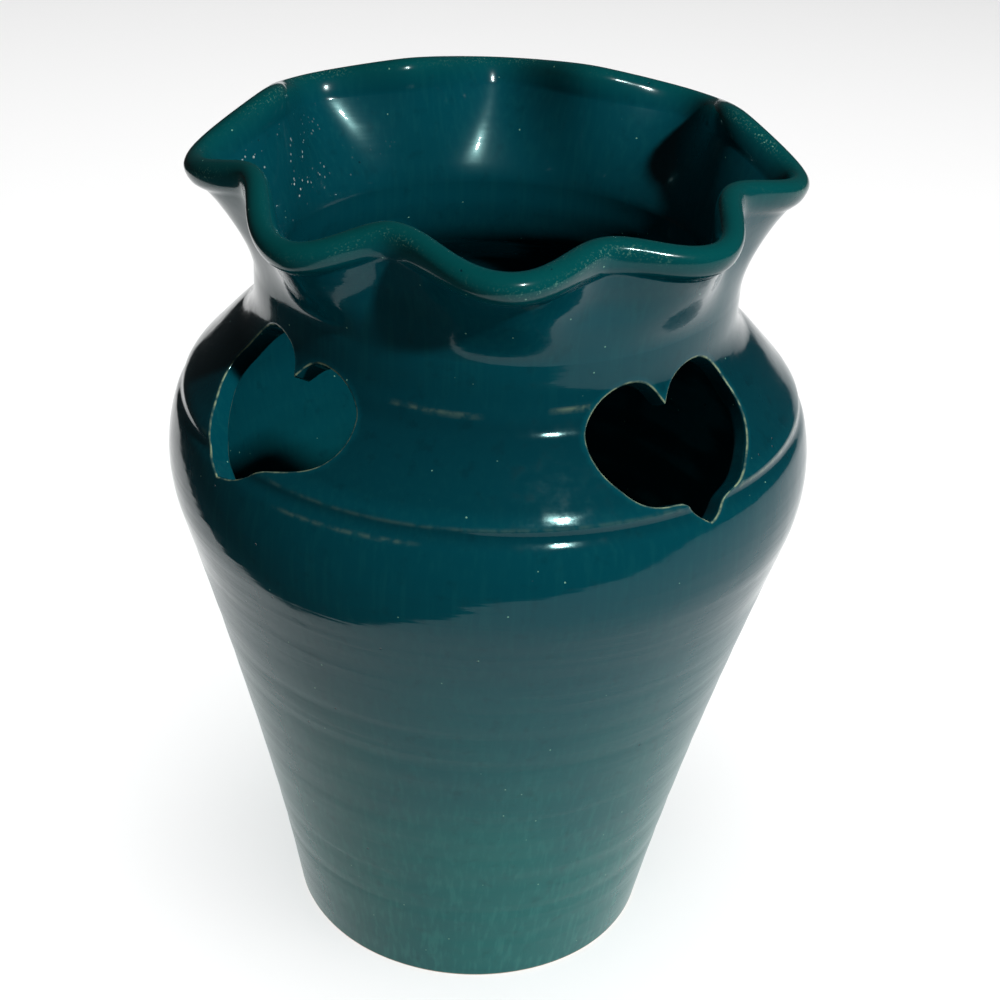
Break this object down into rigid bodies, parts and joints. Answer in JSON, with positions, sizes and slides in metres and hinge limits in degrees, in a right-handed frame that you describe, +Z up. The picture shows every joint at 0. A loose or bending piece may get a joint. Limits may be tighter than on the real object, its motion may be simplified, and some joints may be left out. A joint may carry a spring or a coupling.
{
  "type": "pottery vase",
  "caption": "Hand-thrown glazed pottery vase: hollow cone body, round shoulder pierced with hearts, waisted neck and ruffled rolled lip, for flowers or dried stems.",
  "frame": {"origin": "middle of the flat foot, on the table", "axes": "+Z up along the vase's own axis; -Y is the front, the side that the picture shows"},
  "size_m": [0.19, 0.19, 0.2582],
  "materials": {
    "teal_glaze": "deep teal gloss glaze over thrown stoneware, darker where it pools and pale at cut edges",
    "lip_glaze": "the same teal gloss glaze, broken to a pale speckled green along the roll's edges",
    "foot_clay": "glazed edge and floor, with a bare fired clay standing face"
  },
  "bodies": {
    "root": {"floor_slab": "foot_clay", "lower_wall": "teal_glaze", "pierced_shoulder": "teal_glaze", "fluted_neck": "teal_glaze", "rolled_lip": "lip_glaze"}
  },
  "joints": []
}
